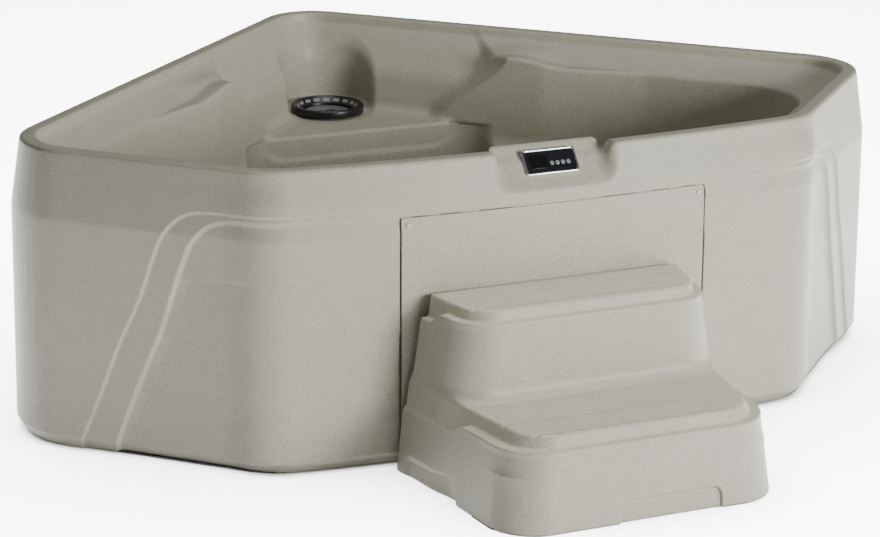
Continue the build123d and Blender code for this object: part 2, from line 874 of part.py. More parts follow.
wet_end_x = pump_x - wet_end_length
outlet_x = pump_x - wet_end_length / 2
outlet_top = pump_axis_z + wet_end_radius + outlet_length
with BuildPart() as pump_wet_end:
    with BuildSketch(across(wet_end_x)):
        Circle(wet_end_radius)
    extrude(amount=wet_end_length)
    with BuildSketch(across(wet_end_x)):
        Circle(pipe_radius + 5)
    extrude(amount=-inlet_length)
    with BuildSketch(Plane(origin=(outlet_x, pump_y, pump_axis_z))):
        Circle(pipe_radius + 5)
    extrude(amount=wet_end_radius + outlet_length)
    with BuildSketch(across(wet_end_x + 8)):
        Circle(impeller_radius + 12)
    extrude(amount=wet_end_length - 20, mode=Mode.SUBTRACT)
    with BuildSketch(across(wet_end_x - inlet_length - 1)):
        Circle(pipe_radius)
    extrude(amount=inlet_length + 12, mode=Mode.SUBTRACT)
    with BuildSketch(Plane(origin=(outlet_x, pump_y, pump_axis_z))):
        Circle(pipe_radius)
    extrude(amount=wet_end_radius + outlet_length + 1, mode=Mode.SUBTRACT)
    with BuildSketch(across(pump_x - 14)):
        Circle(seal_radius)
    extrude(amount=16, mode=Mode.SUBTRACT)
save(pump_wet_end, "pump_wet_end")

with BuildPart() as pump_seal:
    with BuildSketch(across(pump_x - 10)):
        Circle(seal_radius)
        Circle(shaft_radius + shaft_clearance, mode=Mode.SUBTRACT)
    extrude(amount=10)
save(pump_seal, "pump_seal")

with BuildPart() as pump_motor:
    with BuildSketch(across(pump_x)):
        Circle(motor_radius)
    extrude(amount=motor_length)
    fillet(pump_motor.faces().sort_by(Axis.X)[-1].edges(), radius=12)
    with BuildSketch(across(pump_x - 1)):
        Circle(motor_radius - 6)
    extrude(amount=motor_length - 9, mode=Mode.SUBTRACT)
    with BuildSketch(across(pump_x + 20)):
        with PolarLocations(motor_radius + 1, fin_count):
            Rectangle(10, 3)
    extrude(amount=motor_length - 60)
save(pump_motor, "pump_motor")

with BuildPart() as motor_stator:
    with BuildSketch(across(pump_x + 60)):
        Circle(motor_radius - 6)
        Circle(rotor_radius + 1, mode=Mode.SUBTRACT)
    extrude(amount=100)
save(motor_stator, "motor_stator")

with BuildPart() as motor_bearings:
    for bearing_x in (pump_x, pump_x + motor_length - 30):
        with BuildSketch(across(bearing_x)):
            Circle(motor_radius - 6)
            Circle(shaft_radius + shaft_clearance, mode=Mode.SUBTRACT)
        extrude(amount=12)
save(motor_bearings, "motor_bearings")

with BuildPart() as pump_shaft:
    with BuildSketch(across(wet_end_x + 20)):
        Circle(shaft_radius)
    extrude(amount=wet_end_length + motor_length - 40)
    with BuildSketch(across(pump_x + 60)):
        Circle(rotor_radius)
    extrude(amount=100)
save(pump_shaft, "pump_shaft")

with BuildPart() as pump_impeller:
    with BuildSketch(across(wet_end_x + 24)):
        Circle(impeller_radius)
        Circle(shaft_radius, mode=Mode.SUBTRACT)
    extrude(amount=4)
    with BuildSketch(across(wet_end_x + 28)):
        with PolarLocations((impeller_radius + shaft_radius) / 2 + 2, 6):
            Rectangle(impeller_radius - shaft_radius - 8, 4, rotation=24)
    extrude(amount=24)
save(pump_impeller, "pump_impeller")

with BuildPart() as pump_base:
    with BuildSketch(Plane.XY.offset(pan_thickness)):
        with Locations((pump_x + motor_length / 2, pump_y)):
            RectangleRounded(motor_length - 40, 2 * motor_radius, 10)
    extrude(amount=pump_axis_z - pan_thickness - motor_radius / 2)
    with BuildSketch(across(pump_x)):
        Circle(motor_radius + 6.5)
    extrude(amount=motor_length, mode=Mode.SUBTRACT)
save(pump_base, "pump_base")

heater_low = outlet_x + pipe_bend + 30
elbow = [
    (outlet_x, pump_y, outlet_top),
    (outlet_x, pump_y, heater_z),
    (heater_low, pump_y, heater_z),
]
heater_end = heater_low + heater_length
with BuildPart() as heater_elbow:
    add(pipe_run(elbow, pipe_bend))
save(heater_elbow, "heater_elbow")

with BuildPart() as heater_tube:
    with BuildSketch(Plane(origin=(heater_low, pump_y, heater_z), x_dir=(0, 1, 0), z_dir=(1, 0, 0))):
        Circle(heater_radius)
    extrude(amount=heater_length)
    with BuildSketch(Plane(origin=(heater_low + 3, pump_y, heater_z), x_dir=(0, 1, 0), z_dir=(1, 0, 0))):
        Circle(heater_radius - 2)
    extrude(amount=heater_length - 6, mode=Mode.SUBTRACT)
    with BuildSketch(Plane(origin=(heater_low - 1, pump_y, heater_z), x_dir=(0, 1, 0), z_dir=(1, 0, 0))):
        Circle(pipe_radius - pipe_wall)
    extrude(amount=heater_length + 2, mode=Mode.SUBTRACT)
save(heater_tube, "heater_tube")

with BuildPart() as heater_element:
    with BuildLine() as element_route:
        FilletPolyline(
            (heater_low + 40, pump_y, heater_z - 12),
            (heater_low + heater_length - 40, pump_y, heater_z - 12),
            (heater_low + heater_length - 40, pump_y, heater_z + 12),
            (heater_low + 40, pump_y, heater_z + 12),
            radius=10,
        )
    with BuildSketch(Plane(origin=element_route.line @ 0, z_dir=element_route.line % 0)):
        Circle(4)
    sweep()
save(heater_element, "heater_element")

jet_rear_y = jet_pad_y - jet_body_length
low_jet_z = jet_height
high_jet_z = max(z for x, z in jet_places)
manifold_x = max(abs(x) for x, z in jet_places)
with BuildPart() as return_pipe:
    add(
        pipe_run(
            [
                (heater_end, pump_y, heater_z),
                (return_x, pump_y, heater_z),
                (return_x, manifold_y, heater_z),
                (return_x, manifold_y, low_jet_z),
                (manifold_x + 20, manifold_y, low_jet_z),
            ],
            return_bend,
        )
    )
save(return_pipe, "return_pipe")

with BuildPart() as jet_manifold:
    with BuildSketch(Plane.YZ.offset(-manifold_x - 20)):
        with Locations((manifold_y, low_jet_z)):
            Circle(pipe_radius)
    extrude(amount=2 * manifold_x + 40)
    for side in (-1, 1):
        with BuildSketch(Plane.XY.offset(low_jet_z)):
            with Locations((side * jet_cluster_x, manifold_y)):
                Circle(riser_radius)
        extrude(amount=high_jet_z - low_jet_z + riser_radius)
    with BuildSketch(Plane.XZ.offset(-jet_rear_y)):
        with Locations(*jet_places):
            Circle(riser_radius)
    extrude(amount=jet_rear_y - manifold_y)
    with BuildSketch(Plane.YZ.offset(-manifold_x)):
        with Locations((manifold_y, low_jet_z)):
            Circle(pipe_radius - pipe_wall)
    extrude(amount=2 * manifold_x + 40, mode=Mode.SUBTRACT)
    with BuildSketch(Plane.XZ.offset(-jet_rear_y - 1)):
        with Locations(*jet_places):
            Circle(riser_radius - pipe_wall)
    extrude(amount=jet_rear_y - manifold_y + 1, mode=Mode.SUBTRACT)
save(jet_manifold, "jet_manifold")

suction_end_y = footwell_front_y - suction_tail
header_y = suction_end_y - pipe_radius - 6
with BuildPart() as suction_pipe:
    add(
        pipe_run(
            [
                (suction_x + 30, header_y, suction_z),
                (suction_run_x, header_y, suction_z),
                (suction_run_x, pump_y, pump_axis_z),
                (wet_end_x - inlet_length, pump_y, pump_axis_z),
            ],
            return_bend,
        )
    )
    with BuildSketch(Plane.XZ.offset(-suction_end_y)):
        with Locations(*suction_places):
            Circle(pipe_radius)
            Circle(pipe_radius - pipe_wall, mode=Mode.SUBTRACT)
    extrude(amount=8)
save(suction_pipe, "suction_pipe")

# ---- control box
with BuildPart() as control_box:
    with BuildSketch(Plane.XY.offset(pan_thickness)):
        with Locations((box_x, box_y)):
            Rectangle(box_width, box_depth)
    extrude(amount=box_height)
    fillet(control_box.edges().filter_by(Axis.Z), radius=8)
    with BuildSketch(Plane.XZ.offset(-(box_y - box_depth / 2))):
        with Locations((box_x, pan_thickness + box_height / 2)):
            Rectangle(box_width - 2 * box_wall - 14, box_height - 2 * box_wall - 14)
    extrude(amount=-(box_depth - box_wall), mode=Mode.SUBTRACT)
save(control_box, "control_box")

with BuildPart() as control_box_lid:
    with BuildSketch(Plane.XZ.offset(-(box_y - box_depth / 2))):
        with Locations((box_x, pan_thickness + box_height / 2)):
            RectangleRounded(box_width - 4, box_height - 4, 8)
    extrude(amount=5)
    fillet(control_box_lid.faces().sort_by(Axis.Y)[0].edges(), radius=2)
save(control_box_lid, "control_box_lid")

with BuildPart() as box_screws:
    with BuildSketch(Plane.XZ.offset(-(box_y - box_depth / 2 - 5))):
        with Locations((box_x, pan_thickness + box_height / 2)):
            with GridLocations(box_width - 24, box_height - 24, 2, 2):
                Circle(4)
    extrude(amount=2.4)
save(box_screws, "box_screws")

# ---- drain and cable gland low on the right-hand long side
with BuildPart() as drain_fitting:
    with BuildSketch(service_plane.offset(service_pad)):
        Circle(drain_flange_radius)
    extrude(amount=4)
    with BuildSketch(service_plane.offset(service_pad + 4)):
        Circle(drain_radius)
    extrude(amount=-(drain_length + 4))
    with BuildSketch(service_plane.offset(service_pad + 5)):
        Circle(drain_radius - 4)
    extrude(amount=-(drain_length + 10), mode=Mode.SUBTRACT)
save(drain_fitting, "drain_fitting")

with BuildPart() as drain_knob:
    with BuildSketch(service_plane.offset(service_pad + 4 + jet_clearance)):
        Circle(drain_knob_radius)
        with PolarLocations(drain_knob_radius, 10):
            Circle(3.2, mode=Mode.SUBTRACT)
    extrude(amount=14)
    with BuildSketch(service_plane.offset(service_pad + 4 + jet_clearance)):
        Circle(drain_radius - 4.05)
    extrude(amount=-10)
save(drain_knob, "drain_knob")

with BuildPart() as cable_gland:
    with BuildSketch(service_plane.offset(service_pad)):
        with Locations((gland_shift, 0)):
            RegularPolygon(gland_radius + 6, 6)
    extrude(amount=8)
    with BuildSketch(service_plane.offset(service_pad + 8)):
        with Locations((gland_shift, 0)):
            Circle(gland_radius)
    extrude(amount=-(26 + 8))
    with BuildSketch(service_plane.offset(service_pad + 8)):
        with Locations((gland_shift, 0)):
            Circle(gland_radius)
    extrude(amount=10, taper=12)
    with BuildSketch(service_plane.offset(service_pad + 30)):
        with Locations((gland_shift, 0)):
            Circle(gland_bore)
    extrude(amount=-80, mode=Mode.SUBTRACT)
save(cable_gland, "cable_gland")


# ---- step: one hollow moulding with two treads, open underneath
def step_plan(rear, front, depth, height, radius):
    """The step's plan outline at this height: half widths at the back and the front, and depth."""
    with BuildSketch(Plane(origin=(step_x, step_y, height))) as sketch:
        with BuildLine():
            Polyline((-rear, 0), (rear, 0), (front, -depth), (-front, -depth), close=True)
        make_face()
        fillet(sketch.vertices().sort_by(Axis.Y)[:2], radius=radius)
        fillet(sketch.vertices().sort_by(Axis.Y)[-2:], radius=step_rear_radius)
    return sketch.sketch


def step_block(growth):
    """The step's outside, or its inside when growth is negative."""
    low_rear = tread_rear_half_width + tread_side_slope * riser_depth
    low_front = low_rear - tread_side_slope * (step_depth - tread_edge)
    ledge_low = step_low_height - step_ledge_drop
    ledge_high = step_height - step_ledge_drop
    ledge_depth = step_depth - skirt_flare
    high_front = tread_rear_half_width - tread_side_slope * upper_depth
    upper_rear = tread_rear_half_width
    stages = [
        [
            (step_rear_half_width, step_front_half_width, step_depth, 0, step_corner_radius),
            (low_ledge_rear, low_ledge_front, ledge_depth, ledge_low, step_corner_radius - 10),
        ],
        [
            (
                low_ledge_rear - ledge_overhang,
                low_ledge_front - ledge_overhang,
                ledge_depth - ledge_overhang,
                ledge_low,
                step_corner_radius - 22,
            ),
            (low_rear, low_front, ledge_depth - tread_edge, step_low_height, step_corner_radius - 34),
        ],
        [
            (
                upper_rear + upper_flare,
                high_front + upper_flare,
                riser_depth,
                ledge_low,
                upper_corner_radius,
            ),
            (
                upper_rear + ledge_overhang,
                high_front + ledge_overhang,
                upper_depth,
                ledge_high,
                upper_corner_radius,
            ),
        ],
        [
            (upper_rear, high_front, upper_depth - ledge_overhang, ledge_high, upper_corner_radius - 16),
            (
                upper_rear - tread_draft,
                high_front - tread_draft,
                upper_depth - tread_edge,
                step_height,
                upper_corner_radius - 24,
            ),
        ],
    ]
    with BuildPart() as block:
        for stage in stages:
            loft(
                sections=[
                    step_plan(
                        rear + growth,
                        front + growth,
                        depth + growth,
                        max(height + growth, 0),
                        radius,
                    )
                    for rear, front, depth, height, radius in stage
                ],
                ruled=True,
            )
    return block.part


def hand_holds(growth):
    """Shallow hollows at the foot of the step's front and sides, grown outwards by growth."""
    with BuildPart() as block:
        with BuildSketch(Plane.XZ.offset(-(step_y - step_depth + hand_hold_depth + growth))):
            with Locations((hand_hold_x, 0)):
                RectangleRounded(
                    hand_hold_width + 2 * growth,
                    2 * (hand_hold_height + growth),
                    hand_hold_radius + growth,
                )
        extrude(amount=step_depth)
        for side in (-1, 1):
            with BuildSketch(Plane.YZ.offset(step_x + side * (side_hold_x - growth))):
                with Locations((step_y - side_hold_depth, 0)):
                    RectangleRounded(
                        side_hold_width + 2 * growth,
                        2 * (hand_hold_height + growth),
                        hand_hold_radius + growth,
                    )
            extrude(amount=side * step_depth)
    return block.part


def grooves(height, depths):
    """Grip grooves right across a tread, at these distances from the back."""
    with BuildPart() as cuts:
        with BuildSketch(Plane.XY.offset(height + 1)):
            with Locations(*[(step_x, step_y - depth) for depth in depths]):
                Rectangle(2 * step_rear_half_width, groove_width)
        extrude(amount=-(groove_depth + 1))
    return cuts.part


with BuildPart() as step_shell:
    add(step_block(0))
    add(step_block(-step_wall) - hand_holds(step_wall), mode=Mode.SUBTRACT)
    add(hand_holds(0), mode=Mode.SUBTRACT)
    add(grooves(step_height, upper_grooves), mode=Mode.SUBTRACT)
    add(grooves(step_low_height, lower_grooves), mode=Mode.SUBTRACT)
    split(bisect_by=Plane.XY.offset(step_pad_height), keep=Keep.TOP)
save(step_shell, "step_shell")

with BuildPart() as step_pads:
    add(step_block(0))
    add(step_block(-step_wall) - hand_holds(step_wall), mode=Mode.SUBTRACT)
    add(hand_holds(0), mode=Mode.SUBTRACT)
    split(bisect_by=Plane.XY.offset(step_pad_height), keep=Keep.BOTTOM)
    with BuildSketch():
        with Locations(*[(step_x, step_y - depth) for depth in step_pad_depths]):
            Rectangle(3 * step_rear_half_width, step_pad_length)
    extrude(amount=2 * step_pad_height, mode=Mode.INTERSECT)
save(step_pads, "step_pads")
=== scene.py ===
import json
import math

import bpy
import numpy as np
import openvdb
from mathutils import Matrix, Vector


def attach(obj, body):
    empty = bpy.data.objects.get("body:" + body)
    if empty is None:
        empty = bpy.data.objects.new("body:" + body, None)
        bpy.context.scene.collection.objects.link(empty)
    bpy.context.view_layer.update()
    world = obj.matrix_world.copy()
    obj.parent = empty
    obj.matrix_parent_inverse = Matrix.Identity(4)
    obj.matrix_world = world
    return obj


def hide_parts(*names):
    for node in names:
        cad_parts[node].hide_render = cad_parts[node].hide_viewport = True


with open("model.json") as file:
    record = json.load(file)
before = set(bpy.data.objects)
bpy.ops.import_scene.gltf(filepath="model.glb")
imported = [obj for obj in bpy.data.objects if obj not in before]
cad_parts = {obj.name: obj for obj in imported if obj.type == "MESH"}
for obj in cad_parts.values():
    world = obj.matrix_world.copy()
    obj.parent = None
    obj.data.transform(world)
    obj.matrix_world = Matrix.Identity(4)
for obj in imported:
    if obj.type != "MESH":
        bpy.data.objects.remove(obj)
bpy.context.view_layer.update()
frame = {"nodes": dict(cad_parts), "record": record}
NODES = frame["nodes"]

# ---- sizes, in metres: the same as the CAD model's
HEIGHT = 0.740
REAR_CORNER = (0.0, 0.890)
SIDE_CORNER = (1.22117, -0.33117)
FRONT_CORNER = (0.71913, -0.83322)
BOW = 0.047
RADII = (0.142, 0.180, 0.170)
WALL = 0.008
WALL_PROFILE = ((0.004, 0.0), (0.030, 0.035), (0.025, 0.575), (0.0, HEIGHT))
LIP_PROFILE = ((-0.040, HEIGHT), (-0.046, 0.716), (-0.117, 0.670))
SEAT, LEDGE, DECK = 0.430, 0.498, 0.670
LEDGE_FRONT = 0.340
FOOTWELL = (0.360, -0.330, 0.340, 0.100, 0.090)  # half width, front, back, floor, corner radius
FILTER_Y = 0.582
NICHE = (0.592, 0.131)
JET_FACE_Y = -0.72622
JETS = [(side * (0.300 + s * 0.075), 0.520 + up) for side in (-1, 1) for s, up in ((-1, 0), (1, 0), (0, 0.09))]
SUCTIONS = [(-0.130, 0.185), (0.130, 0.185)]
POD_HALF, POD_LEAN = 0.147, math.radians(40)
POD_FACE = (-0.847, 0.700)
POD_FOOT = 0.074
DOOR = (0.405, 0.045, 0.6118)
STEP_X, STEP_Y = -0.012, -0.91622
HALF = math.sqrt(0.5)


# ---- shape tools: every moulding is one signed distance, negative inside, turned into a skin
def ease(t):
    """A smooth step from 0 to 1."""
    t = np.clip(t, 0.0, 1.0)
    return t * t * (3.0 - 2.0 * t)


def join_max(a, b, r):
    """The overlap of two shapes, with its convex edge rounded to radius r."""
    outside = np.sqrt(np.maximum(a + r, 0.0) ** 2 + np.maximum(b + r, 0.0) ** 2)
    return outside + np.minimum(np.maximum(a, b) + r, 0.0) - r


def join_min(a, b, r):
    """Two shapes as one, with the concave corner between them filled to radius r."""
    return -join_max(-a, -b, r)


def rounded(corners):
    """A closed outline from corners of (x, y, radius)."""
    points = []
    for i, (x, y, r) in enumerate(corners):
        p = np.array((x, y))
        if r == 0:
            points.append(p)
            continue
        u = np.array(corners[i - 1][:2]) - p
        v = np.array(corners[(i + 1) % len(corners)][:2]) - p
        u, v = u / np.linalg.norm(u), v / np.linalg.norm(v)
        half = math.acos(np.clip(u @ v, -1, 1)) / 2
        reach = r / math.tan(half)
        middle = p + (u + v) / np.linalg.norm(u + v) * r / math.sin(half)
        a, b = p + u * reach - middle, p + v * reach - middle
        turn = math.acos(np.clip(a @ b / r**2, -1, 1))
        for s in np.linspace(0, 1, 14):
            points.append(middle + (a * math.sin((1 - s) * turn) + b * math.sin(s * turn)) / math.sin(turn))
    return np.array(points)


def curve(points, steps=10):
    """A smooth line through the points."""
    p = np.array([points[0], *points, points[-1]], dtype=float)
    out = []
    for i in range(1, len(p) - 2):
        for s in np.arange(steps) / steps:
            out.append(
                0.5
                * (
                    2 * p[i]
                    + (p[i + 1] - p[i - 1]) * s
                    + (2 * p[i - 1] - 5 * p[i] + 4 * p[i + 1] - p[i + 2]) * s**2
                    + (3 * p[i] - p[i - 1] - 3 * p[i + 1] + p[i + 2]) * s**3
                )
            )
    return [*out, p[-2]]


class Field:
    """A table of signed distance to a closed outline, read by straight interpolation."""

    def __init__(self, outline, low, high, cell, blur=0):
        self.low, self.cell = low, cell
        xs = np.arange(low[0], high[0] + cell, cell)[:, None]
        ys = np.arange(low[1], high[1] + cell, cell)[None, :]
        best = np.full((xs.shape[0], ys.shape[1]), 9.0)
        inside = np.zeros(best.shape, bool)
        outline = np.asarray(outline)
        for a, b in zip(outline, np.roll(outline, -1, axis=0)):
            d = b - a
            s = np.clip(((xs - a[0]) * d[0] + (ys - a[1]) * d[1]) / max(d @ d, 1e-12), 0, 1)
            best = np.minimum(best, (xs - a[0] - s * d[0]) ** 2 + (ys - a[1] - s * d[1]) ** 2)
            if a[1] != b[1]:
                crosses = (a[1] > ys) != (b[1] > ys)
                inside ^= crosses & (xs < a[0] + (ys - a[1]) * d[0] / d[1])
        table = np.sqrt(best) * np.where(inside, -1, 1)
        if blur:
            kernel = np.exp(-0.5 * (np.arange(-3 * blur, 3 * blur + 1) / blur) ** 2)
            kernel /= kernel.sum()
            for axis in (0, 1):
                padded = np.pad(table, [(3 * blur, 3 * blur) if k == axis else (0, 0) for k in (0, 1)], "reflect",
                                reflect_type="odd")
                table = np.apply_along_axis(np.convolve, axis, padded, kernel, "valid")
        self.table = table.astype(np.float32)

    def __call__(self, x, y):
        nx, ny = self.table.shape
        u = np.clip((x - self.low[0]) / self.cell, 0, nx - 1.001)
        v = np.clip((y - self.low[1]) / self.cell, 0, ny - 1.001)
        i, j = u.astype(np.int32), v.astype(np.int32)
        s, t = (u - i).astype(np.float32), (v - j).astype(np.float32)
        table = self.table
        return (table[i, j] * (1 - s) + table[i + 1, j] * s) * (1 - t) + (
            table[i, j + 1] * (1 - s) + table[i + 1, j + 1] * s
        ) * t


def skin(name, shape, low, high, cell, inward=False):
    """A mesh object of the surface where shape is zero, its points settled onto it exactly."""
    low = np.array(low)
    counts = np.ceil((np.array(high) - low) / cell).astype(int) + 1
    xs, ys, zs = (low[k] + cell * np.arange(counts[k]) for k in range(3))
    grid = np.empty(counts, np.float32)
    slab = 8
    for k in range(0, counts[2], slab):
        grid[:, :, k : k + slab] = shape(xs[:, None, None], ys[None, :, None], zs[None, None, k : k + slab])
    volume = openvdb.FloatGrid(3.0)
    volume.copyFromArray(np.clip(grid / cell, -3.0, 3.0))
    points, triangles, quads = volume.convertToPolygons(0.0, 0.0)
    points = points.astype(float) * cell + low
    nudge = 0.0004
    normals = np.zeros_like(points)
    for settle in range(3):
        x, y, z = points.T
        value = shape(x, y, z)
        slope = np.stack(
            [
                shape(x + nudge * (k == 0), y + nudge * (k == 1), z + nudge * (k == 2))
                - shape(x - nudge * (k == 0), y - nudge * (k == 1), z - nudge * (k == 2))
                for k in range(3)
            ],
            axis=1,
        ) / (2 * nudge)
        length = np.maximum(np.linalg.norm(slope, axis=1), 0.3)[:, None]
        normals = slope / length
        if settle < 2:
            points -= normals * np.clip(value[:, None] / length, -0.4 * cell, 0.4 * cell)
    if inward:
        normals = -normals
    if len(quads):
        a, b, c = (points[quads[:, k]] for k in (0, 1, 2))
        facing = np.einsum("ij,ij->i", np.cross(b - a, c - b), normals[quads[:, 0]]).sum()
        if facing < 0:
            quads = quads[:, ::-1]
            triangles = triangles[:, ::-1]
    mesh = bpy.data.meshes.new(name)
    loops = np.concatenate([quads.ravel(), triangles.ravel()]).astype(np.int32)
    sizes = np.concatenate([np.full(len(quads), 4), np.full(len(triangles), 3)])
    mesh.vertices.add(len(points))
    mesh.vertices.foreach_set("co", points.astype(np.float32).ravel())
    mesh.loops.add(len(loops))
    mesh.loops.foreach_set("vertex_index", loops)
    mesh.polygons.add(len(sizes))
    mesh.polygons.foreach_set("loop_start", np.concatenate([[0], np.cumsum(sizes)[:-1]]).astype(np.int32))
    mesh.update(calc_edges=True)
    mesh.validate()
    mesh.shade_smooth()
    mesh.normals_split_custom_set_from_vertices(normals.astype(np.float32))
    piece = bpy.data.objects.new(name, mesh)
    bpy.context.collection.objects.link(piece)
    return piece


# ---- the tub's outlines
def mirrored(right):
    """A closed outline from its right half, which runs from the rear to the front."""
    return right + [(-x, y, r) for x, y, r in reversed(right) if x]


def front_arc(x_end, y_end):
    """The right half of the bowed front, from near its corner to near the middle."""
    return [(x_end * s, y_end - BOW * (1 - s * s), 0) for s in (0.84, 0.7, 0.55, 0.4, 0.25, 0.1)]


plan_outline = rounded(
    mirrored(
        [
            (*REAR_CORNER, RADII[0]),
            (*SIDE_CORNER, RADII[1]),
            (*FRONT_CORNER, RADII[2]),
            *front_arc(*FRONT_CORNER),
        ]
    )
)
BASIN_INSET, BULGE = 0.120, 0.050


def beside(along, inset):
    """A point along the right-hand rear side, measured from the rear corner and inset from it."""
    return ((along - inset) * HALF, REAR_CORNER[1] - (along + inset) * HALF)


basin_front = (FRONT_CORNER[0] - BASIN_INSET * (math.sqrt(2) - 1), FRONT_CORNER[1] + BASIN_INSET)
basin_outline = rounded(
    mirrored(
        [
            (0.0, REAR_CORNER[1] - (BASIN_INSET + BULGE) * math.sqrt(2), 0.05),
            (*beside(0.850, BASIN_INSET + BULGE), 0.25),
            (*beside(1.130, BASIN_INSET), 0.25),
            (SIDE_CORNER[0] - BASIN_INSET * math.sqrt(2), SIDE_CORNER[1], 0.190),
            (*basin_front, 0.200),
            *front_arc(*basin_front),
        ]
    )
)
EXTENT = ((-1.28, -1.00), (1.28, 0.96))
plan_field = Field(plan_outline, *EXTENT, 0.004)
basin_field = Field(basin_outline, *EXTENT, 0.004)
profile_field = Field(
    [*WALL_PROFILE, *LIP_PROFILE, (-2.0, DECK), (-2.0, 0.0)], (-0.40, -0.06), (0.10, 0.82), 0.001, blur=4
)

# ---- the swept relief on the two short sides: (along the side from its rear end, height)
RELIEF_OUTER = [(0.200, -0.060), (0.232, 0.026), (0.281, 0.141), (0.339, 0.287), (0.395, 0.406), (0.428, 0.501),
                (0.451, 0.557), (0.477, 0.594), (0.516, 0.623), (0.565, 0.632), (0.640, 0.634), (0.80, 0.634)]
RELIEF_INNER = [(0.300, -0.060), (0.329, 0.040), (0.392, 0.204), (0.448, 0.336), (0.489, 0.459), (0.520, 0.541),
                (0.541, 0.572), (0.567, 0.597), (0.605, 0.611), (0.656, 0.616), (0.80, 0.616)]
relief_low, relief_high = (0.0, -0.10), (1.10, 0.80)
relief_outer = Field([*curve(RELIEF_OUTER), (3.0, 0.634), (3.0, -0.5), (0.2, -0.5)], relief_low, relief_high, 0.003)
relief_inner = Field([*curve(RELIEF_INNER), (3.0, 0.616), (3.0, -0.5), (0.3, -0.5)], relief_low, relief_high, 0.003)
LAPS = (0.030, 0.176, 0.323, 0.470)
LAP_DEPTH = 0.004


def relief(x, y, z):
    """How far the outer wall is sunk, or raised where negative."""
    along = (np.abs(SIDE_CORNER[0] - np.abs(x)) + (SIDE_CORNER[1] - y)) * HALF
    along = np.where(y > SIDE_CORNER[1] + 0.12, 0.0, along)
    outer = ease(0.5 - relief_outer(along, z) / 0.009)
    inside = relief_inner(along, z)
    inner = ease(0.5 - inside / 0.012)
    front = ease((along - 0.60) / 0.20)
    total = 0.016 - 0.012 * front
    sunk = total * (0.42 * outer + 0.58 * inner)
    raised = total * front * (1 - ease((z - 0.655) / 0.060)) * ease((z - 0.02) / 0.02)
    lapped = 0.0
    for low, high in zip(LAPS, LAPS[1:]):
        ramp = np.clip((z - low) / (high - low), 0, 1)
        lapped = lapped + ramp * ease(0.5 + (high - z) / 0.006) * (z > low)
    lapped = lapped * LAP_DEPTH * ease(-inside / 0.030) * (1 - ease((along - 0.60) / 0.13))
    return sunk - raised + lapped


def drilled(shape, axis_distance, along, start, end, radius):
    """The shape with a round hole cut from start to end along an axis."""
    hole = np.maximum(axis_distance - radius, np.maximum(start - along, along - end))
    return np.maximum(shape, -hole)


def pod_frame(y, z):
    """Distance out of the pod's sloping face, and distance up it from its middle."""
    dy, dz = y - POD_FACE[0], z - POD_FACE[1]
    out = -dy * math.cos(POD_LEAN) + dz * math.sin(POD_LEAN)
    up = dy * math.sin(POD_LEAN) + dz * math.cos(POD_LEAN)
    return out, up


def service_frame(x, y):
    """Distance along the right-hand long side from the drain, and out of it."""
    dx, dy = x - 1.02530, y + 0.09288
    return (dx - dy) * HALF, (dx + dy) * HALF


def basin(x, y, z, plan):
    """The hollow that holds the water."""
    side = basin_field(x, y) + 0.022 * np.clip((DECK - z) / (DECK - SEAT), 0, 1.2)
    seat = join_max(side, SEAT - z, 0.045)
    ledge = join_max(LEDGE_FRONT - y, z - LEDGE, 0.012)
    seat = -join_min(-seat, ledge, 0.012)
    width = 0.262 + 0.138 * ease((z - LEDGE) / 0.196)
    rear = join_max(plan + 0.128 + 0.030 * np.clip((DECK - z) / 0.2, 0, 1), np.abs(x) - width, 0.022)
    slope = 0.635 * (0.716 + 1.215 * (plan + 0.046) - z)
    slope = join_max(np.maximum(slope, plan + 0.046), np.abs(x) - width, 0.012)
    rear = join_min(rear, slope, 0.010)
    rear = join_max(rear, LEDGE - z, 0.026)
    rear = join_max(rear, 0.190 - y, 0.020)
    niche = join_max(np.hypot(x, y - NICHE[0]) - NICHE[1], LEDGE - z, 0.018)
    half_width, front, back, floor, corner = FOOTWELL
    middle, depth = (front + back) / 2, (back - front) / 2
    foot = join_max(np.abs(x) - half_width, np.abs(y - middle) - depth, corner)
    foot = join_max(foot, floor - z, 0.040)
    foot = np.maximum(foot, z - SEAT - 0.060)
    hollow = join_min(seat, rear, 0.008)
    hollow = join_min(hollow, niche, 0.015)
    return join_min(hollow, foot, 0.012)


def tub_body(x, y, z):
    """The tub's moulded form before its holes, with the distances that those holes are placed by."""
    plan = plan_field(x, y)
    sunk = relief(x, y, z) * ease((plan + 0.030) / 0.015)
    armrest = 0.020 * ease(1 - np.hypot(np.abs(x) - 0.43, y - 0.24) / 0.16)
    body = profile_field(plan + sunk, z - armrest * ease((-plan - 0.05) / 0.05))
    body = join_max(body, -basin(x, y, z, plan), 0.011)
    out, up = pod_frame(y, z)
    wide = np.abs(x) - POD_HALF
    pod = join_max(join_max(out, y + 0.795, 0.010), join_max(z - HEIGHT, -POD_FOOT - up, 0.006), 0.006)
    pod = join_max(pod, wide, 0.020)
    body = join_min(body, pod, 0.008)
    cut = join_max(join_max(-out, wide, 0.030), -POD_FOOT - up, 0.040)
    body = -join_min(-body, cut, 0.022)
    for jet_x, jet_z in JETS:
        away = np.hypot(x - jet_x, z - jet_z)
        pad = join_max(away - 0.046, np.maximum(y - JET_FACE_Y, -0.800 - y), 0.004)
        body = join_min(body, pad, 0.012)
    pads = []
    along, outward = service_frame(x, y)
    for place, radius in ((0.0, 0.034), (0.110, 0.023)):
        away = np.hypot(along - place, z - 0.080)
        body = join_min(body, join_max(away - radius, np.maximum(outward - 0.002, -0.006 - outward), 0.0015), 0.004)
        pads.append(away)
    return body, out, up, outward, pads


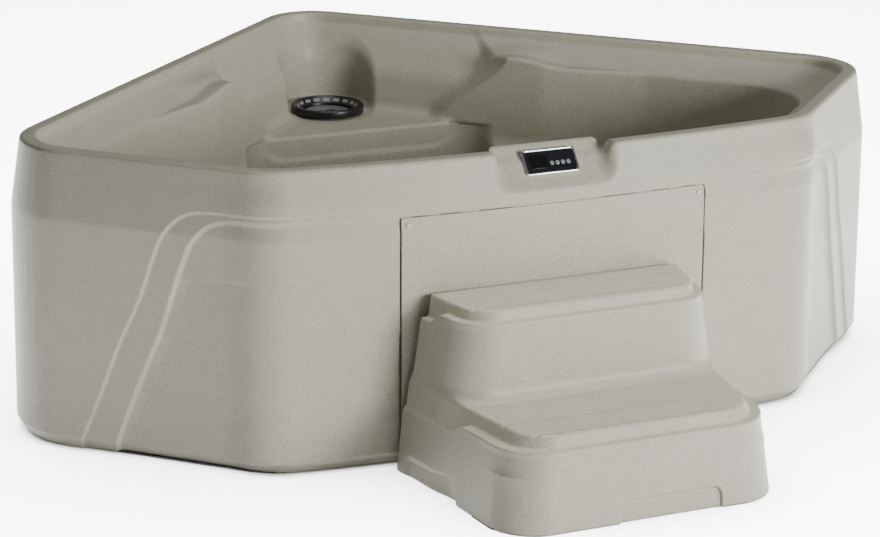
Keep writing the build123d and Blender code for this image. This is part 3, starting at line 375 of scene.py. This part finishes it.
def tub_solid(x, y, z):
    """The tub's outside and basin, with the holes that its fittings go in."""
    body, out, up, outward, pads = tub_body(x, y, z)
    for jet_x, jet_z in JETS:
        body = drilled(body, np.hypot(x - jet_x, z - jet_z), y, -0.800, -0.700, 0.0264)
    for place_x, place_z in SUCTIONS:
        body = drilled(body, np.hypot(x - place_x, z - place_z), y, -0.390, -0.320, 0.0244)
    body = drilled(body, np.hypot(x, y - FILTER_Y), z, 0.195, 0.510, 0.0825)
    for away, radius in zip(pads, (0.0144, 0.0114)):
        body = drilled(body, away, outward, -0.050, 0.010, radius)
    panel = np.maximum(np.maximum(np.abs(x) - 0.062, np.abs(up) - 0.025), np.maximum(out - 0.01, -0.034 - out))
    body = np.maximum(body, -panel)
    plan = plan_field(x, y)
    face = np.interp(z, [h for d, h in WALL_PROFILE], [d for d, h in WALL_PROFILE])
    half_door, door_low, door_top = DOOR
    window = join_max(np.abs(x) - half_door, np.abs(z - (door_low + door_top) / 2) - (door_top - door_low) / 2, 0.006)
    window = np.maximum(window, np.maximum(face - 0.030 - plan, y + 0.5))
    body = np.maximum(body, -window)
    pan = np.maximum(plan + 0.007 - 0.74 * z, z - 0.0065)
    return np.maximum(body, -pan)


def tub_void(x, y, z):
    """The hollow between the tub's two skins."""
    return tub_solid(x, y, z) + WALL


# ---- the step
def between(pair, t):
    """The value between two, at t from 0 to 1."""
    return pair[0] + (pair[1] - pair[0]) * t


def step_stage(x, front_to_back, z, low, high, rear, front, depth, radius, edge, top=None):
    """One tier of the step, between two heights, with its top edge rounded."""
    t = np.clip((z - low) / (high - low), -1.0, 1.0)
    deep = between(depth, t)
    half_width = between(rear, t) + (between(front, t) - between(rear, t)) * front_to_back / deep
    plan = join_max(np.abs(x - STEP_X) - half_width, front_to_back - deep, radius)
    return join_max(plan, z - (high if top is None else top), edge)


HOLD_FRONT = (0.045, 0.130, 0.052)  # middle across, half width, height
HOLD_SIDE = (0.145, 0.110, 0.052)  # middle front to back, half length, height
STEP_WALL = 0.006
GROOVE_HALF = 0.0035
HIGH_GROOVES, LOW_GROOVES = (0.062, 0.150), (0.358, 0.442)


def step_open(x, y, z):
    """The step's outside, carried on behind its back and below its foot."""
    reach = STEP_Y - y
    skirt_top = 0.190 - 0.038 * (1 - ease((reach - 0.160) / 0.110))
    skirt = step_stage(
        x, reach, z, 0.0, 0.175, (0.400, 0.392), (0.352, 0.330), (0.508, 0.488), 0.105, 0.005, skirt_top
    )
    front_hold = join_max(np.abs(x - HOLD_FRONT[0]) - HOLD_FRONT[1], z - HOLD_FRONT[2], 0.022)
    front_hold = join_max(front_hold, 0.500 - 0.14 * z - reach, 0.003)
    side_hold = join_max(np.abs(reach - HOLD_SIDE[0]) - HOLD_SIDE[1], z - HOLD_SIDE[2], 0.022)
    side_hold = join_max(side_hold, 0.387 - 0.094 * reach - np.abs(x - STEP_X), 0.003)
    skirt = -join_min(-skirt, np.minimum(front_hold, side_hold), 0.006)
    tread = step_stage(x, reach, z, 0.175, 0.220, (0.374, 0.371), (0.312, 0.285), (0.472, 0.464), 0.082, 0.006)
    riser_top = 0.404 - 0.028 * (1 - ease((reach - 0.030) / 0.055))
    riser = step_stage(x, reach, z, 0.175, 0.385, (0.381, 0.351), (0.3446, 0.3146), (0.212, 0.202), 0.084, 0.005,
                       riser_top)
    crown = step_stage(x, reach, z, 0.385, 0.430, (0.333, 0.327), (0.2966, 0.2906), (0.186, 0.178), 0.064, 0.006)
    low = join_min(skirt, tread, 0.005)
    high = join_min(riser, crown, 0.005)
    for depth in HIGH_GROOVES:
        high = np.maximum(high, -join_max(np.abs(reach - depth) - GROOVE_HALF, 0.4250 - z, 0.001))
    for depth in LOW_GROOVES:
        low = np.maximum(low, -join_max(np.abs(reach - depth) - GROOVE_HALF, 0.2150 - z, 0.001))
    return join_min(low, high, 0.030)


def step_solid(x, y, z):
    shape = step_open(x, y, z)
    closed = join_max(np.maximum(shape, 0.003 - z), y - STEP_Y, 0.004)
    return np.maximum(closed, -(shape + STEP_WALL))


# ---- materials
def linear(code):
    """An sRGB hex colour as linear light."""
    values = [int(code[k : k + 2], 16) / 255 for k in (1, 3, 5)]
    return (*[v / 12.92 if v <= 0.04045 else ((v + 0.055) / 1.055) ** 2.4 for v in values], 1.0)


def node(material, kind, settings=None, **links):
    """Adds a node with its settings, and links sockets or sets values by input name."""
    made = material.node_tree.nodes.new(kind)
    for name, value in (settings or {}).items():
        setattr(made, name, value)
    for name, value in links.items():
        socket = made.inputs[int(name[1:])] if name[1:].isdigit() else made.inputs[name.replace("_", " ")]
        if isinstance(value, bpy.types.NodeSocket):
            material.node_tree.links.new(value, socket)
        else:
            socket.default_value = value
    return made


def new_material(name, colour, roughness, metallic=0.0, ior=1.5, speckle=None, grain=None, mottle=0.0):
    """A finish with speckled colour (dark, light, size in mm) and a grain (size in mm, height in mm)."""
    material = bpy.data.materials.new(name)
    material.use_nodes = True
    material.node_tree.nodes.clear()
    place = node(material, "ShaderNodeTexCoord").outputs["Object"]
    finish = node(material, "ShaderNodeBsdfPrincipled", Roughness=roughness, Metallic=metallic, IOR=ior)
    finish.inputs["Base Color"].default_value = linear(colour)
    link = material.node_tree.links.new
    if speckle:
        dark, light, size = speckle
        fleck = node(material, "ShaderNodeTexNoise", Vector=place, Scale=1000 / size, Detail=2.0, Roughness=0.65)
        ramp = node(material, "ShaderNodeValToRGB", Fac=fleck.outputs[0])
        stops = ramp.color_ramp.elements
        stops[0].position, stops[0].color = 0.34, linear(dark)
        stops[1].position, stops[1].color = 0.68, linear(light)
        stops.new(0.44).color = linear(colour)
        stops.new(0.58).color = linear(colour)
        tone = ramp.outputs[0]
        if mottle:
            cloud = node(material, "ShaderNodeTexNoise", Vector=place, Scale=14.0, Detail=3.0)
            shade = node(
                material, "ShaderNodeMapRange", Value=cloud.outputs[0],
                From_Min=0.3, From_Max=0.7, To_Min=1 - mottle, To_Max=1 + mottle,
            )
            tone = node(material, "ShaderNodeVectorMath", {"operation": "MULTIPLY"}, _0=tone, _1=shade.outputs[0])
            tone = tone.outputs[0]
        link(tone, finish.inputs["Base Color"])
    if grain:
        size, height = grain
        pebble = node(material, "ShaderNodeTexNoise", Vector=place, Scale=1000 / size, Detail=2.0)
        relief_node = node(
            material, "ShaderNodeBump", Strength=1.0, Distance=height / 1000, Height=pebble.outputs[0]
        )
        link(relief_node.outputs[0], finish.inputs["Normal"])
        rough = node(
            material, "ShaderNodeMapRange", Value=pebble.outputs[0],
            From_Min=0.3, From_Max=0.7, To_Min=max(roughness - 0.07, 0.02), To_Max=min(roughness + 0.07, 1.0),
        )
        link(rough.outputs[0], finish.inputs["Roughness"])
    output = node(material, "ShaderNodeOutputMaterial")
    link(finish.outputs[0], output.inputs["Surface"])
    return material


# Polyethylene, rotationally moulded with a stone-look fleck: a soft, even sheen broken by fine pebbling.
polyethylene = new_material(
    "rotomoulded_polyethylene", "#a9a694", 0.52, speckle=("#8b8877", "#c2bfae", 2.8), grain=(2.6, 0.13), mottle=0.03
)
# ABS sheet, vacuum formed and left matt.
abs_sheet = new_material(
    "formed_abs_sheet", "#1b1b1c", 0.6, speckle=("#131313", "#242425", 5.0), grain=(1.5, 0.05)
)
# Closed-cell foam, cut: dull, with a cellular surface.
foam = new_material("cut_closed_cell_foam", "#d9d4c4", 0.9, speckle=("#c6c0ae", "#e6e2d4", 4.0), grain=(3.0, 0.3))
# Stainless steel, turned or rolled: a soft bright metal with faint lines.
stainless = new_material("turned_stainless_steel", "#b9b8b4", 0.28, metallic=1.0, grain=(0.8, 0.01))
brass = new_material("turned_brass", "#b08d4a", 0.3, metallic=1.0, grain=(0.8, 0.01))
# Chromed ABS, plated over a smooth moulding: a clear mirror with a slight waviness.
chrome = new_material("plated_chrome", "#d4d6d8", 0.07, metallic=1.0, grain=(9.0, 0.01))
# Polycarbonate overlay, screen printed on its back: glossy and nearly black.
overlay = new_material(
    "printed_polycarbonate_overlay", "#15171a", 0.16, ior=1.58, speckle=("#101215", "#1c1f23", 2.0), grain=(6.0, 0.01)
)
display_glass = new_material(
    "tinted_polycarbonate_window", "#08090b", 0.08, ior=1.58, speckle=("#050607", "#0d0f12", 2.0), grain=(8.0, 0.006)
)
# Painted ABS, spray finished in silver: satin with a fine flake.
silver_abs = new_material(
    "silver_painted_abs", "#8d9196", 0.35, metallic=0.4, speckle=("#7b7f84", "#a8acb1", 0.8), grain=(0.9, 0.02)
)
# EPDM rubber, moulded: dark and dull.
rubber = new_material("moulded_epdm_rubber", "#161616", 0.75, speckle=("#101010", "#202020", 1.5), grain=(0.9, 0.05))
# Polypropylene, injection moulded with a spark-eroded texture.
polypropylene = new_material(
    "moulded_polypropylene", "#1d1d1f", 0.48, speckle=("#151516", "#28282a", 1.6), grain=(0.9, 0.04)
)
laminate = new_material(
    "lacquered_glass_epoxy_board", "#1c5a3a", 0.3, speckle=("#15492e", "#256b46", 2.5), grain=(2.0, 0.02)
)
# ABS, injection moulded in black: a satin ring that picks up soft highlights.
black_abs = new_material(
    "moulded_black_abs", "#141415", 0.36, speckle=("#0e0e0f", "#1e1e20", 1.6), grain=(1.2, 0.03)
)
grey_abs = new_material("moulded_grey_abs", "#6d6f70", 0.40, speckle=("#5d5f60", "#7e8081", 1.6), grain=(1.2, 0.03))
# Spun polyester, pleated: white, matt and fibrous.
polyester = new_material(
    "spun_polyester_media", "#e4e3dd", 0.9, speckle=("#d2d1ca", "#f2f1ec", 1.2), grain=(0.7, 0.15)
)
jet_abs = new_material("moulded_jet_abs", "#8b8c88", 0.38, speckle=("#7b7c78", "#9b9c98", 1.6), grain=(1.2, 0.03))
# PVC pipe, extruded: white with a light satin skin.
pvc = new_material("extruded_white_pvc", "#e2e2dc", 0.34, speckle=("#d8d8d2", "#ecece6", 3.0), grain=(4.0, 0.02))
enamel = new_material(
    "sprayed_motor_enamel", "#2a2d33", 0.42, speckle=("#222529", "#34383f", 2.0), grain=(1.0, 0.04)
)
iron = new_material("laminated_core_iron", "#58585a", 0.5, metallic=1.0, grain=(0.8, 0.06))

FINISHES = {
    "moulded_shell": polyethylene,
    "black_pan": abs_sheet,
    "foam_block": foam,
    "stainless": stainless,
    "brass": brass,
    "chrome_trim": chrome,
    "panel_face": overlay,
    "display": display_glass,
    "button_plastic": silver_abs,
    "rubber": rubber,
    "black_plastic": polypropylene,
    "circuit_board": laminate,
    "filter_black": black_abs,
    "filter_grey": grey_abs,
    "filter_media": polyester,
    "jet_grey": jet_abs,
    "white_pipe": pvc,
    "motor_paint": enamel,
    "iron_core": iron,
}


def paint(piece, material):
    """Gives a piece one material."""
    piece.data.materials.clear()
    piece.data.materials.append(material)


for entry in frame["record"]["subparts"]:
    paint(NODES[entry["node"]], FINISHES[entry["material_slot"]])


# Stainless steel with a bead-blasted head: grey and soft.
blasted = new_material("bead_blasted_stainless_steel", "#7b7972", 0.5, metallic=1.0, grain=(0.6, 0.03))
paint(NODES["door_screws"], blasted)
paint(NODES["filter_cap"], grey_abs)


def add_piece(piece, material, body, replaced=()):
    """Gives a new piece its material, its CAD body and the nodes it stands for."""
    paint(piece, material)
    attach(piece, body)
    if replaced:
        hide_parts(*replaced)
    return piece


# ---- the mouldings
fine, coarse = ((0.0045, 0.012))
TUB_BOX = ((-1.200, -0.930, -0.012), (1.200, 0.880, 0.756))
tub = skin("tub_shell_skin", tub_solid, *TUB_BOX, fine)
void = skin("tub_shell_void", tub_void, *TUB_BOX, coarse, inward=True)
bpy.ops.object.select_all(action="DESELECT")
for piece in (tub, void):
    piece.select_set(True)
bpy.context.view_layer.objects.active = tub
bpy.ops.object.join()
add_piece(tub, polyethylene, "tub", ["tub_shell"])
step = skin("step_shell_skin", step_solid, (-0.430, -1.440, -0.006), (0.406, -0.905, 0.442),
            0.0025)
add_piece(step, polyethylene, "step", ["step_shell"])

# ---- filter ring: a thin rim round a sloping, slotted throat
RING_PROFILE = [(0.1035, 0.4985), (0.1040, 0.5120), (0.1030, 0.5170), (0.0995, 0.5195), (0.0925, 0.5198),
                (0.0895, 0.5180), (0.0785, 0.5040), (0.0768, 0.5030), (0.0745, 0.5030), (0.0745, 0.4810),
                (0.0770, 0.4810), (0.0770, 0.5025), (0.0943, 0.5026), (0.0943, 0.4985)]


def turned(name, profile, y, steps=96):
    """A closed profile of (radius, height) turned round an upright axis at y."""
    count = len(profile)
    points, faces = [], []
    for k in range(steps):
        angle = 2 * math.pi * k / steps
        points += [(r * math.cos(angle), y + r * math.sin(angle), z) for r, z in profile]
        ahead_k = (k + 1) % steps
        faces += [
            (k * count + i, ahead_k * count + i, ahead_k * count + (i + 1) % count, k * count + (i + 1) % count)
            for i in range(count)
        ]
    mesh = bpy.data.meshes.new(name)
    mesh.from_pydata(points, [], faces)
    mesh.update()
    mesh.shade_smooth()
    made = bpy.data.objects.new(name, mesh)
    bpy.context.collection.objects.link(made)
    return made


ring = turned("filter_ring_turned", RING_PROFILE, FILTER_Y)
bevel = ring.modifiers.new("edges", "BEVEL")
bevel.width, bevel.segments, bevel.limit_method = 0.0008, 2, "ANGLE"
add_piece(ring, black_abs, "tub", ["filter_ring"])

# The slots are light patches that lie on the ring's slope.
slot_points, slot_faces = [], []
SLOT_COUNT, SLOT_HALF = 18, math.radians(6.2)
for k in range(SLOT_COUNT):
    middle = 2 * math.pi * (k + 0.5) / SLOT_COUNT
    start = len(slot_points)
    for radius, height in ((0.0862, 0.51405), (0.0804, 0.50665)):
        for turn in (-1, -0.33, 0.33, 1):
            angle = middle + turn * SLOT_HALF
            slot_points.append((radius * math.cos(angle), FILTER_Y + radius * math.sin(angle), height))
    slot_faces += [(start + i, start + i + 1, start + i + 5, start + i + 4) for i in range(3)]
slot_mesh = bpy.data.meshes.new("filter_ring_slots")
slot_mesh.from_pydata(slot_points, [], slot_faces)
slots = bpy.data.objects.new("filter_ring_slots", slot_mesh)
bpy.context.collection.objects.link(slots)
add_piece(slots, jet_abs, "tub")

# ---- floor, light and camera; the floor and the step each have a light of their own
bpy.ops.mesh.primitive_plane_add(size=60, location=(0, 0, 0))
floor = bpy.context.object
floor.name = "studio_floor"
paint(floor, new_material("matt_white_paper", "#f4f4f2", 0.9, speckle=("#f1f1ef", "#f7f7f5", 30.0), grain=(2.0, 0.02)))

world = bpy.data.worlds.new("studio")
bpy.context.scene.world = world
world.use_nodes = True
world.node_tree.nodes["Background"].inputs[0].default_value = (1.0, 1.0, 1.0, 1.0)
world.node_tree.nodes["Background"].inputs[1].default_value = 0.15


def area_light(name, place, target, size, power, only=None):
    """A soft box; only limits it to one object."""
    lamp = bpy.data.lights.new(name, "AREA")
    lamp.size, lamp.energy = size, power
    holder = bpy.data.objects.new(name, lamp)
    holder.location = place
    holder.rotation_mode = "QUATERNION"
    holder.rotation_quaternion = (Vector(target) - Vector(place)).to_track_quat("-Z", "Y")
    bpy.context.collection.objects.link(holder)
    if only:
        receivers = bpy.data.collections.new(name + "_receivers")
        receivers.objects.link(only)
        holder.light_linking.receiver_collection = receivers


area_light("key_softbox", (2.7, -6.3, 1.9), (0.0, -0.6, 0.4), 2.0, 520)
area_light("step_softbox", (0.1, -1.0, 3.6), (0.0, -1.15, 0.3), 1.2, 72, only=step)
area_light("top_softbox", (0.3, 0.2, 5.0), (0.0, 0.0, 0.5), 2.4, 66)
area_light("floor_wash", (0.0, 0.0, 9.0), (0.0, 0.0, 0.0), 16.0, 17000, only=floor)
floor.visible_diffuse = False

camera = bpy.data.objects.new("camera", bpy.data.cameras.new("camera"))
bpy.context.collection.objects.link(camera)
camera.data.lens, camera.data.sensor_width = 112.93, 36.0
AZIMUTH, ELEVATION, ROLL = 0.42228, 0.29848, 0.009885
ahead = Vector(
    (math.sin(AZIMUTH) * math.cos(ELEVATION), math.cos(AZIMUTH) * math.cos(ELEVATION), -math.sin(ELEVATION))
)
level = Vector((math.cos(AZIMUTH), -math.sin(AZIMUTH), 0.0))
upright = level.cross(ahead)
across = level * math.cos(ROLL) + upright * math.sin(ROLL)
upright = upright * math.cos(ROLL) - level * math.sin(ROLL)
axes = Matrix((across, upright, -ahead)).transposed()
camera.matrix_world = Matrix.Translation((-2.84629, -6.54993, 2.38949)) @ axes.to_4x4()
camera.data.clip_end = 200
bpy.context.scene.camera = camera
